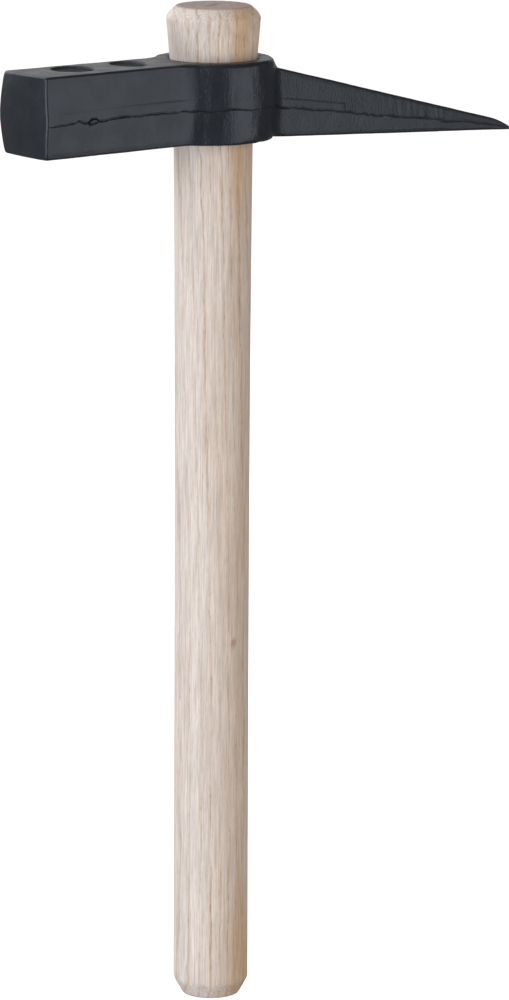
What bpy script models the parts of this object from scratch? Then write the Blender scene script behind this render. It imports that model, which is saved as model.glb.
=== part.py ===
"""Brick hammer: a forged steel head pushed onto a turned ash handle.

The head has a square poll with a striking face at one end, a round boss with a
tapered eye, and a long pick with a narrow chisel edge at the other end. The handle
is a round stick that swells towards its top, so it goes up through the head from
above and wedges in the eye's taper, with no nail, pin or wedge.

Frame: the origin is the middle of the handle's butt end. +Z runs up the handle,
the poll points along -X and the pick along +X. Metres.
"""
import math

import bmesh
import bpy

MM = 0.001

# Handle, from the butt end up
HANDLE_LENGTH = 399.5 * MM
BUTT_FACE_RADIUS = 11.5 * MM
BUTT_CHAMFER_HEIGHT = 6.3 * MM
BUTT_CHAMFER_ROUND = 0.7 * MM
BUTT_CHAMFER_EASE = 0.4 * MM
GRIP_RADIUS = 15.0 * MM
GRIP_HEIGHT = 20.0 * MM
WAIST_RADIUS = 14.83 * MM
WAIST_HEIGHT = 132.0 * MM
NECK_RADIUS = 15.5 * MM
NECK_HEIGHT = 345.0 * MM
CROWN_RADIUS = 18.5 * MM
CROWN_HEIGHT = 394.5 * MM
TOP_FACE_RADIUS = 14.4 * MM
ROUND_SEGMENTS = 48

# How late each stretch of the handle flares: 1 is straight, and more is later
SHAFT_FLARE = 3.0
NECK_FLARE = 1.5
CROWN_CURVE = 1.6

# Head: plan sizes hold on its top and bottom edges
HEAD_BOTTOM = 347.3 * MM
HEAD_TOP = 379.1 * MM
POLL_FACE_X = -91.8 * MM
POLL_FACE_HALF_WIDTH = 14.3 * MM
POLL_NECK_HALF_WIDTH = 13.3 * MM
POLL_FILLET = 13.0 * MM
BOSS_RADIUS = 24.0 * MM
PICK_FILLET = 7.0 * MM
PICK_ROOT_X = 26.0 * MM
PICK_ROOT_HALF_WIDTH = 12.0 * MM
PICK_ROOT_TOP = 373.7 * MM
PICK_ROOT_BOTTOM = 346.8 * MM
PICK_TOP_SLOPE = -0.259
PICK_BOTTOM_SLOPE = -0.059
PICK_TIP_X = 144.2 * MM
PICK_TIP_HALF_WIDTH = 9.0 * MM
CHISEL_BEVEL_LENGTH = 10.0 * MM
CHISEL_BEVEL_DROP = 1.8 * MM

# The boss's top falls to the pick between these distances from the eye's axis
SHOULDER_START = 22.3 * MM
SHOULDER_END = 26.0 * MM
SHOULDER_FULL_ANGLE = math.radians(32.0)
SHOULDER_ZERO_ANGLE = math.radians(60.0)

# Die draft: each side face leans out to a ridge part of the way up
RIDGE_SHARE_POLL = 0.53
RIDGE_SHARE_PICK = 0.45
RIDGE_BULGE_POLL = 1.8 * MM
RIDGE_BULGE_BOSS = 1.0 * MM
RIDGE_BULGE_PICK = 1.4 * MM
EDGE_RADIUS = 1.3 * MM
BOSS_EDGE_RADIUS = 2.6 * MM
UPPER_EDGE_X = -9.0 * MM
LOWER_EDGE_X = 11.0 * MM
BOSS_EDGE_REACH = 20.0 * MM
BOSS_EDGE_PLATEAU = 1.6
EDGE_RADIUS_SHARE = 0.22

# Facets: steps round an edge, across a flat, and along each stretch of the head and handle
EDGE_STEPS = 3
FLAT_STEPS = 3
POLL_STEPS = 4
FILLET_STEPS = 4
BOSS_STEPS = 16
SHOULDER_STEPS = 6
PICK_STEPS = 4
BEVEL_STEPS = 5
BORE_STEPS = 6
SHAFT_STEPS = 6
NECK_STEPS = 8
CROWN_STEPS = 5

# Striking face: a low crown round a flat middle
FACE_CROWN = 2.2 * MM
FACE_EDGE_RADIUS = 0.9 * MM
FACE_SCALES = (0.3, 0.55, 0.8)

# Eye
FIT_GAP = 0.3 * MM
EYE_RIM_RADIUS = 1.8 * MM
EYE_RIM_ANGLE = math.radians(75.0)
CUTTER_OVERSHOOT = 1.0 * MM

# Two plain round recesses in the poll's top: centre x, centre y, half length, half width
RECESSES = (
    (-66.3 * MM, 1.6 * MM, 8.9 * MM, 8.9 * MM),
    (-39.6 * MM, 2.0 * MM, 7.2 * MM, 8.9 * MM),
)
RECESS_DEPTH = 1.0 * MM
RECESS_WALL_RUN = 0.8 * MM
RECESS_SEGMENTS = 32

SHARP_ANGLE = math.radians(35.0)
STEEL_COLOUR = (0.016, 0.018, 0.021, 1.0)
ASH_COLOUR = (0.60, 0.48, 0.37, 1.0)


def mix(start, end, share):
    return start + (end - start) * share


def smooth(share):
    share = min(max(share, 0.0), 1.0)
    return share * share * (3.0 - 2.0 * share)


def spread(start, end, count):
    """count + 1 evenly spaced values from start to end."""
    return [mix(start, end, i / count) for i in range(count + 1)]


# --- Handle -----------------------------------------------------------------

def handle_radius(z):
    """Radius of the turned handle at height z, above the butt's chamfer."""
    if z <= GRIP_HEIGHT:
        return GRIP_RADIUS
    if z <= WAIST_HEIGHT:
        return mix(GRIP_RADIUS, WAIST_RADIUS, (z - GRIP_HEIGHT) / (WAIST_HEIGHT - GRIP_HEIGHT))
    if z <= NECK_HEIGHT:
        share = (z - WAIST_HEIGHT) / (NECK_HEIGHT - WAIST_HEIGHT)
        return mix(WAIST_RADIUS, NECK_RADIUS, share ** SHAFT_FLARE)
    if z <= CROWN_HEIGHT:
        share = (z - NECK_HEIGHT) / (CROWN_HEIGHT - NECK_HEIGHT)
        return mix(NECK_RADIUS, CROWN_RADIUS, share ** NECK_FLARE)
    share = (z - CROWN_HEIGHT) / (HANDLE_LENGTH - CROWN_HEIGHT)
    return mix(CROWN_RADIUS, TOP_FACE_RADIUS, share ** CROWN_CURVE)


def handle_profile():
    """(radius, z) points of the handle's outline, from the butt end up."""
    heights = [GRIP_HEIGHT]
    heights += spread(WAIST_HEIGHT, NECK_HEIGHT, SHAFT_STEPS)
    heights += spread(NECK_HEIGHT, CROWN_HEIGHT, NECK_STEPS)[1:]
    heights += spread(CROWN_HEIGHT, HANDLE_LENGTH, CROWN_STEPS)[1:]
    profile = [(BUTT_FACE_RADIUS, 0.0)]
    profile.append((GRIP_RADIUS - BUTT_CHAMFER_EASE, BUTT_CHAMFER_HEIGHT - BUTT_CHAMFER_ROUND))
    profile.append((GRIP_RADIUS, BUTT_CHAMFER_HEIGHT + BUTT_CHAMFER_ROUND))
    profile += [(handle_radius(z), z) for z in heights]
    return profile


# --- Head -------------------------------------------------------------------

def fillet_ends(half_width, fillet):
    """Distances from the eye's axis, along X, where a fillet meets the neck and the boss."""
    centre_x = math.sqrt((BOSS_RADIUS + fillet) ** 2 - (half_width + fillet) ** 2)
    return centre_x, centre_x * BOSS_RADIUS / (BOSS_RADIUS + fillet)


POLL_NECK_X, POLL_BOSS_X = fillet_ends(POLL_NECK_HALF_WIDTH, POLL_FILLET)
PICK_NECK_X, PICK_BOSS_X = fillet_ends(PICK_ROOT_HALF_WIDTH, PICK_FILLET)


def plan_half_width(x):
    """Half width of the head in plan, on its top and bottom edges."""
    if -POLL_BOSS_X <= x <= PICK_BOSS_X:
        return math.sqrt(BOSS_RADIUS ** 2 - x ** 2)
    if x < -POLL_NECK_X:
        share = (x + POLL_NECK_X) / (POLL_FACE_X + POLL_NECK_X)
        return mix(POLL_NECK_HALF_WIDTH, POLL_FACE_HALF_WIDTH, share)
    if x > PICK_NECK_X:
        share = (x - PICK_NECK_X) / (PICK_TIP_X - PICK_NECK_X)
        return mix(PICK_ROOT_HALF_WIDTH, PICK_TIP_HALF_WIDTH, share)
    if x < 0.0:
        neck_x, width, fillet = POLL_NECK_X, POLL_NECK_HALF_WIDTH, POLL_FILLET
    else:
        neck_x, width, fillet = PICK_NECK_X, PICK_ROOT_HALF_WIDTH, PICK_FILLET
    return width + fillet - math.sqrt(fillet ** 2 - (neck_x - abs(x)) ** 2)


def pick_share(x, y):
    """0 on the poll and boss, 1 on the pick, and between on the boss's shoulder."""
    if x <= 0.0:
        return 0.0
    reach = (math.hypot(x, y) - SHOULDER_START) / (SHOULDER_END - SHOULDER_START)
    turn = SHOULDER_ZERO_ANGLE - math.atan2(abs(y), x)
    return smooth(reach) * smooth(turn / (SHOULDER_ZERO_ANGLE - SHOULDER_FULL_ANGLE))


def top_height(x, y):
    run = x - PICK_ROOT_X
    bevel = max(0.0, (x - PICK_TIP_X) / CHISEL_BEVEL_LENGTH + 1.0)
    pick_top = PICK_ROOT_TOP + PICK_TOP_SLOPE * run - CHISEL_BEVEL_DROP * bevel ** 2
    return mix(HEAD_TOP, pick_top, pick_share(x, y))


def bottom_height(x, y):
    pick_bottom = PICK_ROOT_BOTTOM + PICK_BOTTOM_SLOPE * (x - PICK_ROOT_X)
    return mix(HEAD_BOTTOM, pick_bottom, pick_share(x, y))


def edge_radius(x, peak_x):
    """Radius of a long edge at x: it widens on the boss, and is widest on a plateau round peak_x."""
    nearness = 1.0 - abs(x - peak_x) / BOSS_EDGE_REACH
    return mix(EDGE_RADIUS, BOSS_EDGE_RADIUS, smooth(BOSS_EDGE_PLATEAU * nearness))


def section_shape(x):
    """Half width, ridge bulge, ridge share and the two edge radii of the head at x."""
    half_width = plan_half_width(x)
    top = top_height(x, half_width)
    bottom = bottom_height(x, half_width)
    neck_bulge = RIDGE_BULGE_POLL
    if x > 0.0:
        neck_bulge = RIDGE_BULGE_PICK * (top - bottom) / (HEAD_TOP - HEAD_BOTTOM)
    toward_boss = smooth(2.0 * (1.0 - abs(x) / PICK_ROOT_X))
    bulge = mix(neck_bulge, RIDGE_BULGE_BOSS, toward_boss)
    toward_pick = smooth(0.5 + 0.5 * x / BOSS_RADIUS)
    ridge_share = mix(RIDGE_SHARE_POLL, RIDGE_SHARE_PICK, toward_pick)
    limit = EDGE_RADIUS_SHARE * (top - bottom)
    upper, lower = (min(edge_radius(x, peak), limit) for peak in (UPPER_EDGE_X, LOWER_EDGE_X))
    return half_width, bulge, ridge_share, upper, lower


def head_section(x):
    """(y, z) points round the head at x, from the middle of the top by way of the +Y side."""
    half_width, bulge, ridge_share, upper, lower = section_shape(x)
    angles = spread(0.0, math.pi / 2.0, EDGE_STEPS)

    half = [(y, top_height(x, y)) for y in spread(0.0, half_width - upper, FLAT_STEPS)]
    for angle in angles[1:]:
        y = half_width - upper * (1.0 - math.sin(angle))
        half.append((y, top_height(x, y) - upper * (1.0 - math.cos(angle))))
    top = top_height(x, half_width)
    bottom = bottom_height(x, half_width)
    half.append((half_width + bulge, mix(bottom, top, ridge_share)))
    for angle in reversed(angles[1:]):
        y = half_width - lower * (1.0 - math.sin(angle))
        half.append((y, bottom_height(x, y) + lower * (1.0 - math.cos(angle))))
    half += [(y, bottom_height(x, y)) for y in spread(half_width - lower, 0.0, FLAT_STEPS)]
    other = [(-y, z) for y, z in reversed(half[1:-1])]
    return half + other


def head_stations():
    """Positions along X of the head's sections, behind the striking face."""
    first_angle = -math.asin(POLL_BOSS_X / BOSS_RADIUS)
    last_angle = math.asin(PICK_BOSS_X / BOSS_RADIUS)
    bevel_start = PICK_TIP_X - CHISEL_BEVEL_LENGTH
    stations = spread(POLL_FACE_X + FACE_CROWN + FACE_EDGE_RADIUS, -POLL_NECK_X, POLL_STEPS)
    stations += spread(-POLL_NECK_X, -POLL_BOSS_X, FILLET_STEPS)[1:]
    stations += [BOSS_RADIUS * math.sin(angle) for angle in spread(first_angle, last_angle, BOSS_STEPS)[1:]]
    stations += spread(PICK_BOSS_X, SHOULDER_END, SHOULDER_STEPS)[1:]
    stations += spread(SHOULDER_END, bevel_start, PICK_STEPS)[1:]
    stations += spread(bevel_start, PICK_TIP_X, BEVEL_STEPS)[1:]
    return stations


def face_rings(section):
    """Rings from the flat middle of the striking face out over its rounded edge."""
    middle = 0.5 * (HEAD_BOTTOM + HEAD_TOP)
    corner = math.hypot(POLL_FACE_HALF_WIDTH, HEAD_TOP - middle)

    def ring(scale, behind):
        points = []
        for section_y, section_z in section:
            y = section_y * scale
            lift = (section_z - middle) * scale
            share = max(0.0, (math.hypot(y, lift) / corner) ** 2 - FACE_SCALES[0] ** 2)
            points.append((POLL_FACE_X + FACE_CROWN * share + behind, y, middle + lift))
        return points

    rings = [ring(scale, 0.0) for scale in FACE_SCALES]
    for angle in spread(0.0, math.pi / 2.0, EDGE_STEPS)[:-1]:
        inset = FACE_EDGE_RADIUS * (1.0 - math.sin(angle))
        behind = FACE_EDGE_RADIUS * (1.0 - math.cos(angle))
        rings.append(ring(1.0 - inset / POLL_FACE_HALF_WIDTH, behind))
    return rings


def head_rings():
    stations = head_stations()
    rings = face_rings(head_section(stations[0]))
    rings += [[(x, y, z) for y, z in head_section(x)] for x in stations]
    return rings


def eye_profile():
    """(radius, z) points of the tapered eye, with a rounded rim at each end."""
    lower, upper = [], []
    for angle in spread(EYE_RIM_ANGLE, 0.0, EDGE_STEPS):
        rise = EYE_RIM_RADIUS * (1.0 - math.sin(angle))
        flare = EYE_RIM_RADIUS * (1.0 - math.cos(angle)) + FIT_GAP
        lower.append((handle_radius(HEAD_BOTTOM + rise) + flare, HEAD_BOTTOM + rise))
        upper.insert(0, (handle_radius(HEAD_TOP - rise) + flare, HEAD_TOP - rise))
    bore = [(handle_radius(z) + FIT_GAP, z) for z in spread(lower[-1][1], upper[0][1], BORE_STEPS)[1:-1]]
    below = (lower[0][0], HEAD_BOTTOM - CUTTER_OVERSHOOT)
    above = (upper[-1][0], HEAD_TOP + CUTTER_OVERSHOOT)
    return [below] + lower + bore + upper + [above]


def recess_rings(centre_x, centre_y, half_length, half_width):
    """A shallow oval tub with a sloping wall, from its floor to above the poll's top."""
    slope = RECESS_WALL_RUN / RECESS_DEPTH
    levels = ((RECESS_WALL_RUN, -RECESS_DEPTH), (-slope * CUTTER_OVERSHOOT, CUTTER_OVERSHOOT))
    rings = []
    for inset, rise in levels:
        ring = []
        for angle in spread(0.0, 2.0 * math.pi, RECESS_SEGMENTS)[:-1]:
            x = centre_x + (half_length - inset) * math.cos(angle)
            y = centre_y + (half_width - inset) * math.sin(angle)
            ring.append((x, y, HEAD_TOP + rise))
        rings.append(ring)
    return rings


# --- Meshes -----------------------------------------------------------------

def turned_rings(profile):
    """Rings round the Z axis, one for each (radius, z) point of a profile."""
    angles = spread(0.0, 2.0 * math.pi, ROUND_SEGMENTS)[:-1]
    return [[(r * math.cos(a), r * math.sin(a), z) for a in angles] for r, z in profile]


def lofted_object(name, rings):
    """A closed object skinned over rings of equal point counts, with flat ends."""
    shape = bmesh.new()
    loops = [[shape.verts.new(point) for point in ring] for ring in rings]
    count = len(loops[0])
    for lower, upper in zip(loops, loops[1:]):
        for i in range(count):
            j = (i + 1) % count
            shape.faces.new((lower[i], lower[j], upper[j], upper[i]))
    shape.faces.new(loops[0])
    shape.faces.new(loops[-1])
    bmesh.ops.recalc_face_normals(shape, faces=shape.faces)
    mesh = bpy.data.meshes.new(name)
    shape.to_mesh(mesh)
    shape.free()
    mesh.shade_smooth()
    mesh.set_sharp_from_angle(angle=SHARP_ANGLE)
    made = bpy.data.objects.new(name, mesh)
    bpy.context.scene.collection.objects.link(made)
    return made


def cut_with(target, cutter):
    """Subtract a cutter, which stays in the scene as a hidden guide."""
    cutter.hide_render = True
    cutter.display_type = "WIRE"
    boolean = target.modifiers.new("cut_" + cutter.name, "BOOLEAN")
    boolean.operation = "DIFFERENCE"
    boolean.solver = "EXACT"
    boolean.object = cutter


def finish_material(target, name, colour, roughness, metallic):
    material = bpy.data.materials.new(name)
    material.use_nodes = True
    shader = material.node_tree.nodes["Principled BSDF"]
    shader.inputs["Base Color"].default_value = colour
    shader.inputs["Roughness"].default_value = roughness
    shader.inputs["Metallic"].default_value = metallic
    target.data.materials.append(material)


# --- Pieces -----------------------------------------------------------------

def make_handle():
    handle = lofted_object("handle", turned_rings(handle_profile()))
    finish_material(handle, "ash_wood", ASH_COLOUR, 0.6, 0.0)


def make_hammer_head():
    head = lofted_object("hammer_head", head_rings())
    cut_with(head, lofted_object("eye_cutter", turned_rings(eye_profile())))
    for number, recess in enumerate(RECESSES, start=1):
        cut_with(head, lofted_object(f"recess_cutter_{number}", recess_rings(*recess)))
    finish_material(head, "black_paint", STEEL_COLOUR, 0.35, 0.0)


for leftover in list(bpy.data.objects):
    bpy.data.objects.remove(leftover)
make_handle()
make_hammer_head()
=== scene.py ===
"""Looks of the brick hammer: the forged, painted head and the turned ash handle.

Both CAD nodes are replaced by fine meshes on the same sizes. The head carries the
marks of its forging: the sheared flash band, the ragged flash line, a slight die
mismatch and a rough skin. The handle carries its growth rings as a solid pattern, so
the lines on its side and the rings on its ends belong together.
"""
import math

import bpy
import numpy as np
from mathutils import Matrix, Vector


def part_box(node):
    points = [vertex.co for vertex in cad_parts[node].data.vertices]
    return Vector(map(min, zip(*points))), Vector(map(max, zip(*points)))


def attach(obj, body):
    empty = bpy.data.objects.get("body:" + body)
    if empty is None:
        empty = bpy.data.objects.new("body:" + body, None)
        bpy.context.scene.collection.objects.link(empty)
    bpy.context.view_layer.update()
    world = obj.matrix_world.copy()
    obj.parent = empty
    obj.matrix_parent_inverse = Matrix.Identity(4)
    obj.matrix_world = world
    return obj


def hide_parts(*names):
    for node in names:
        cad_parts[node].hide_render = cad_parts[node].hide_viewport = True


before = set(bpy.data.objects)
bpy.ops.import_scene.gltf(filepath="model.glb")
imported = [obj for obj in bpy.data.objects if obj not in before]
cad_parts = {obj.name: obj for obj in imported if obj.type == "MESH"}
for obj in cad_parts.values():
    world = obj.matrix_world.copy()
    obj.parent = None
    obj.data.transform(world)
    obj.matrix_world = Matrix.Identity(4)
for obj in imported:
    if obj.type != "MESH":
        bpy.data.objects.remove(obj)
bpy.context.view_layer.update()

MM = 0.001
HEAD_LOW, HEAD_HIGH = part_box("hammer_head")
HANDLE_LOW, HANDLE_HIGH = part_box("handle")

# --- Sizes of the head, as in the CAD ----------------------------------------
HEAD_TOP = HEAD_HIGH.z
HEAD_BOTTOM = HEAD_TOP - 31.8 * MM
POLL_FACE_X = HEAD_LOW.x
PICK_TIP_X = HEAD_HIGH.x
POLL_FACE_HALF_WIDTH = 14.3 * MM
POLL_NECK_HALF_WIDTH = 13.3 * MM
POLL_FILLET = 13.0 * MM
BOSS_RADIUS = 24.0 * MM
PICK_FILLET = 7.0 * MM
PICK_ROOT_X = 26.0 * MM
PICK_ROOT_HALF_WIDTH = 12.0 * MM
PICK_TIP_HALF_WIDTH = 9.0 * MM
PICK_ROOT_TOP = HEAD_TOP - 5.4 * MM
PICK_ROOT_BOTTOM = HEAD_BOTTOM - 0.5 * MM
PICK_TOP_SLOPE = -0.259
PICK_BOTTOM_SLOPE = -0.059
CHISEL_BEVEL_LENGTH = 10.0 * MM
CHISEL_BEVEL_DROP = 1.8 * MM
SHOULDER_START = 22.3 * MM
SHOULDER_END = 26.0 * MM
SHOULDER_FULL_ANGLE = math.radians(32.0)
SHOULDER_ZERO_ANGLE = math.radians(60.0)
RIDGE_BULGE_POLL = 1.8 * MM
RIDGE_BULGE_BOSS = 1.0 * MM
RIDGE_BULGE_PICK = 1.4 * MM
EDGE_RADIUS = 1.3 * MM
BOSS_EDGE_RADIUS = 2.6 * MM
UPPER_EDGE_X = -9.0 * MM
LOWER_EDGE_X = 11.0 * MM
BOSS_EDGE_REACH = 20.0 * MM
EDGE_RADIUS_SHARE = 0.22
FACE_CROWN = 2.2 * MM
FACE_EDGE_RADIUS = 0.9 * MM
FACE_FLAT_SHARE = 0.3
FIT_GAP = 0.3 * MM
EYE_RIM_RADIUS = 1.8 * MM
RECESSES = (
    (-66.3 * MM, 1.6 * MM, 8.9 * MM, 8.9 * MM),
    (-39.6 * MM, 2.0 * MM, 7.2 * MM, 8.9 * MM),
)
RECESS_DEPTH = 1.0 * MM
RECESS_WALL_RUN = 0.8 * MM

# --- Sizes of the handle, as in the CAD ---------------------------------------
HANDLE_LENGTH = HANDLE_HIGH.z
BUTT_FACE_RADIUS = 11.5 * MM
BUTT_CHAMFER_HEIGHT = 6.3 * MM
GRIP_RADIUS = 15.0 * MM
GRIP_HEIGHT = 20.0 * MM
WAIST_RADIUS = 14.83 * MM
WAIST_HEIGHT = 132.0 * MM
NECK_RADIUS = 15.5 * MM
NECK_HEIGHT = 345.0 * MM
CROWN_RADIUS = 18.5 * MM
CROWN_HEIGHT = HANDLE_LENGTH - 5.0 * MM
TOP_FACE_RADIUS = 14.4 * MM

# --- Marks of the forging ------------------------------------------------------
FLASH_SHARE = 0.437
FLASH_SHARE_AT_FACE = 0.412
FLASH_SETTLE_LENGTH = 45.0 * MM
FLASH_RIDGE = 0.26 * MM
FLASH_GROOVE = 0.42 * MM
# Length and height of the flash line's slow wander, and of its two sizes of jags
FLASH_WANDER = (8.0 * MM, 0.30 * MM)
FLASH_JAGS = ((1.9 * MM, 0.26 * MM), (0.8 * MM, 0.10 * MM))
# The far side has its own run of the flash line, taken from this far along the noise
FAR_SIDE_SHIFT = 200.0 * MM
FLASH_RISE = 0.8 * MM
FLASH_RISE_X = -75.6 * MM
FLASH_RISE_REACH = 1.9 * MM
DIE_MISMATCH = 0.12 * MM
BURR_X = -69.0 * MM
BURR_HALF_LENGTH = 2.8 * MM
BURR_HALF_HEIGHT = 1.3 * MM
BURR_LUMP = 0.30 * MM
POLL_BAND_HEIGHT = 4.4 * MM
PICK_BAND_HEIGHT = 3.7 * MM
PICK_BAND_END_X = 56.3 * MM
BAND_DEPTH = 0.07 * MM
BAND_EDGE_DEPTH = 0.18 * MM
BAND_END_DEPTH = 0.15 * MM
BAND_FADE_ON_BOSS = 0.75
BOSS_MARKS_REACH = 27.0 * MM
BOSS_MARKS_BLEND = 6.0 * MM
TRIM_MARK_DEPTH = 0.07 * MM
TRIM_START_X = 70.0 * MM
TRIM_END_X = 130.0 * MM
# Size and depth of the boss's streaks and lumps, of the forged skin everywhere, and of
# the lumps on the floors of the recesses
BOSS_STREAKS = ((1.5 * MM, 1.5 * MM, 6.0 * MM), 0.06 * MM)
BOSS_LUMPS = ((3.2 * MM, 3.2 * MM, 8.0 * MM), 0.09 * MM)
SKIN_WAVES = ((11.0 * MM, 0.055 * MM), (4.2 * MM, 0.035 * MM), (1.6 * MM, 0.014 * MM))
RECESS_LUMPS = ((1.5 * MM, 0.22 * MM), (0.7 * MM, 0.10 * MM))
SKIN_SETBACK = 0.03 * MM

# --- Fineness of the meshes -------------------------------------------------------
# Spacing of the head's sections on its poll, boss, pick and bevel
STATION_SPACING = (0.56 * MM, 0.50 * MM, 0.77 * MM, 0.60 * MM)
EYE_SEGMENTS = 160
HANDLE_SEGMENTS = 224

# --- The wood --------------------------------------------------------------------
# The pith lies outside the stick, at this x and y
PITH = (54.0 * MM, -42.0 * MM)
HEART_STREAK = 11.0 * MM
FLECK = np.array((-0.2 * MM, -15.0 * MM, 147.2 * MM))
RING_WIDTH = 3.7 * MM
GRAIN_STRAIGHT_BELOW = 190.0 * MM
GRAIN_LEAN = 0.028
SAPWOOD = (0.735, 0.666, 0.615, 1.0)
SAPWOOD_GREY = (0.675, 0.611, 0.573, 1.0)
HEARTWOOD = (0.600, 0.425, 0.285, 1.0)
OLIVE_STREAK = (0.560, 0.475, 0.385, 1.0)
EARLY_WOOD = (0.520, 0.340, 0.200, 1.0)
PORE = (0.250, 0.165, 0.105, 1.0)
FLECK_BROWN = (0.300, 0.140, 0.060, 1.0)
END_GRAIN = (0.370, 0.270, 0.240, 1.0)

# --- Stage, light and camera -------------------------------------------------------
FLOOR_GLOW = 0.88
PAPER_AZIMUTH = 142.3
PAPER_EDGE = 0.86
PAPER_FULL = 0.97
PAPER_GLOW = 0.60
LEFT_WALL_GLOW = 0.23
RIGHT_WALL_GLOW = 0.12
LIGHT_TARGET = Vector((0.0, 0.0, 0.26))
CAMERA_TARGET = Vector((21.34 * MM, 0.0, 199.89 * MM))
CAMERA_DISTANCE = 2.1247
CAMERA_LENS = 191.68
CAMERA_AZIMUTH = 37.732
CAMERA_DROP = 11.948
CAMERA_ROLL = 0.289
FLOOR_HALF_WIDTH = 8.0
SOFTBOX_DISTANCE = 1.6
# Name, azimuth, elevation, width, height, glow and colour of each softbox
SOFTBOXES = (
    ("left_key", -84.0, 4.0, 1.4, 1.7, 3.70, (0.985, 0.985, 1.0)),
    ("top_fill", -150.0, 65.0, 1.0, 1.0, 2.5, (1.0, 1.0, 1.0)),
    ("front_right_fill", 21.0, 0.0, 1.6, 2.0, 1.75, (1.0, 0.985, 0.97)),
    ("rear_fill", 185.0, 25.0, 1.0, 1.2, 2.0, (1.0, 1.0, 1.0)),
)


# --- Small maths ----------------------------------------------------------------

def mix(start, end, share):
    return start + (end - start) * share


def smooth(share):
    share = np.clip(share, 0.0, 1.0)
    return share * share * (3.0 - 2.0 * share)


def hump(distance, reach):
    """1 at distance 0, falling smoothly to 0 at reach."""
    return smooth(1.0 - np.abs(distance) / reach)


def lattice_value(cells, seed):
    """A repeatable value from -1 to 1 for each whole-number cell."""
    mixed = cells[..., 0] * 374761393 + cells[..., 1] * 668265263 + cells[..., 2] * 2147483647
    mixed = (mixed + seed * 1274126177) & 0xFFFFFFFF
    mixed = ((mixed ^ (mixed >> 13)) * 1103515245) & 0xFFFFFFFF
    mixed = ((mixed ^ (mixed >> 16)) * 2246822519) & 0xFFFFFFFF
    return (mixed ^ (mixed >> 15)) / 2147483647.5 - 1.0


def noise(points, size, seed=0):
    """Smooth value noise at (n, 3) points. size is one length, or one for each axis."""
    scaled = points / np.asarray(size)
    cell = np.floor(scaled).astype(np.int64)
    share = scaled - cell
    share = share * share * (3.0 - 2.0 * share)
    total = np.zeros(len(points))
    for corner in np.ndindex(2, 2, 2):
        offset = np.array(corner)
        weight = np.where(offset == 1, share, 1.0 - share).prod(axis=1)
        total += weight * lattice_value(cell + offset, seed)
    return total


def line_noise(x, size, seed=0):
    """Smooth value noise along a line."""
    points = np.zeros((len(x), 3))
    points[:, 0] = x
    return noise(points, size, seed)


def uneven_steps(limits, counts):
    """Values that run through the limits, with each stretch in its own number of steps."""
    runs = [np.linspace(a, b, n, endpoint=False) for a, b, n in zip(limits, limits[1:], counts)]
    return np.concatenate(runs + [limits[-1:]])


# --- Form of the head ------------------------------------------------------------

def fillet_ends(half_width, fillet):
    """Distances from the eye's axis, along X, where a fillet meets the neck and the boss."""
    centre_x = math.sqrt((BOSS_RADIUS + fillet) ** 2 - (half_width + fillet) ** 2)
    return centre_x, centre_x * BOSS_RADIUS / (BOSS_RADIUS + fillet)


POLL_NECK_X, POLL_BOSS_X = fillet_ends(POLL_NECK_HALF_WIDTH, POLL_FILLET)
PICK_NECK_X, PICK_BOSS_X = fillet_ends(PICK_ROOT_HALF_WIDTH, PICK_FILLET)


def plan_half_width(x):
    """Half width of the head in plan at x, on its top and bottom edges."""
    if -POLL_BOSS_X <= x <= PICK_BOSS_X:
        return math.sqrt(BOSS_RADIUS ** 2 - x ** 2)
    if x < -POLL_NECK_X:
        share = (x + POLL_NECK_X) / (POLL_FACE_X + POLL_NECK_X)
        return mix(POLL_NECK_HALF_WIDTH, POLL_FACE_HALF_WIDTH, share)
    if x > PICK_NECK_X:
        share = (x - PICK_NECK_X) / (PICK_TIP_X - PICK_NECK_X)
        return mix(PICK_ROOT_HALF_WIDTH, PICK_TIP_HALF_WIDTH, share)
    if x < 0.0:
        neck_x, width, fillet = POLL_NECK_X, POLL_NECK_HALF_WIDTH, POLL_FILLET
    else:
        neck_x, width, fillet = PICK_NECK_X, PICK_ROOT_HALF_WIDTH, PICK_FILLET
    return width + fillet - math.sqrt(fillet ** 2 - (neck_x - abs(x)) ** 2)


def pick_share(x, y):
    """0 on the poll and boss, 1 on the pick, and between on the boss's shoulder."""
    reach = (np.hypot(x, y) - SHOULDER_START) / (SHOULDER_END - SHOULDER_START)
    turn = SHOULDER_ZERO_ANGLE - np.arctan2(np.abs(y), x)
    share = smooth(reach) * smooth(turn / (SHOULDER_ZERO_ANGLE - SHOULDER_FULL_ANGLE))
    return np.where(x > 0.0, share, 0.0)


def top_height(x, y):
    bevel = np.maximum(0.0, (x - PICK_TIP_X) / CHISEL_BEVEL_LENGTH + 1.0)
    pick_top = PICK_ROOT_TOP + PICK_TOP_SLOPE * (x - PICK_ROOT_X) - CHISEL_BEVEL_DROP * bevel ** 2
    return mix(HEAD_TOP, pick_top, pick_share(x, y))


def bottom_height(x, y):
    pick_bottom = PICK_ROOT_BOTTOM + PICK_BOTTOM_SLOPE * (x - PICK_ROOT_X)
    return mix(HEAD_BOTTOM, pick_bottom, pick_share(x, y))


def edge_radius(x, peak_x):
    """Radius of a long edge at x: it widens on the boss, most of all at peak_x."""
    return mix(EDGE_RADIUS, BOSS_EDGE_RADIUS, smooth(1.6 * (1.0 - abs(x - peak_x) / BOSS_EDGE_REACH)))


def flash_share(x):
    """Height of the flash line as a share of the side's height."""
    return mix(FLASH_SHARE_AT_FACE, FLASH_SHARE, smooth((x - POLL_FACE_X) / FLASH_SETTLE_LENGTH))


def band_height(x):
    """Height of the sheared band above the flash line."""
    return mix(POLL_BAND_HEIGHT, PICK_BAND_HEIGHT, smooth(0.5 + 0.5 * x / BOSS_RADIUS))


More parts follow.
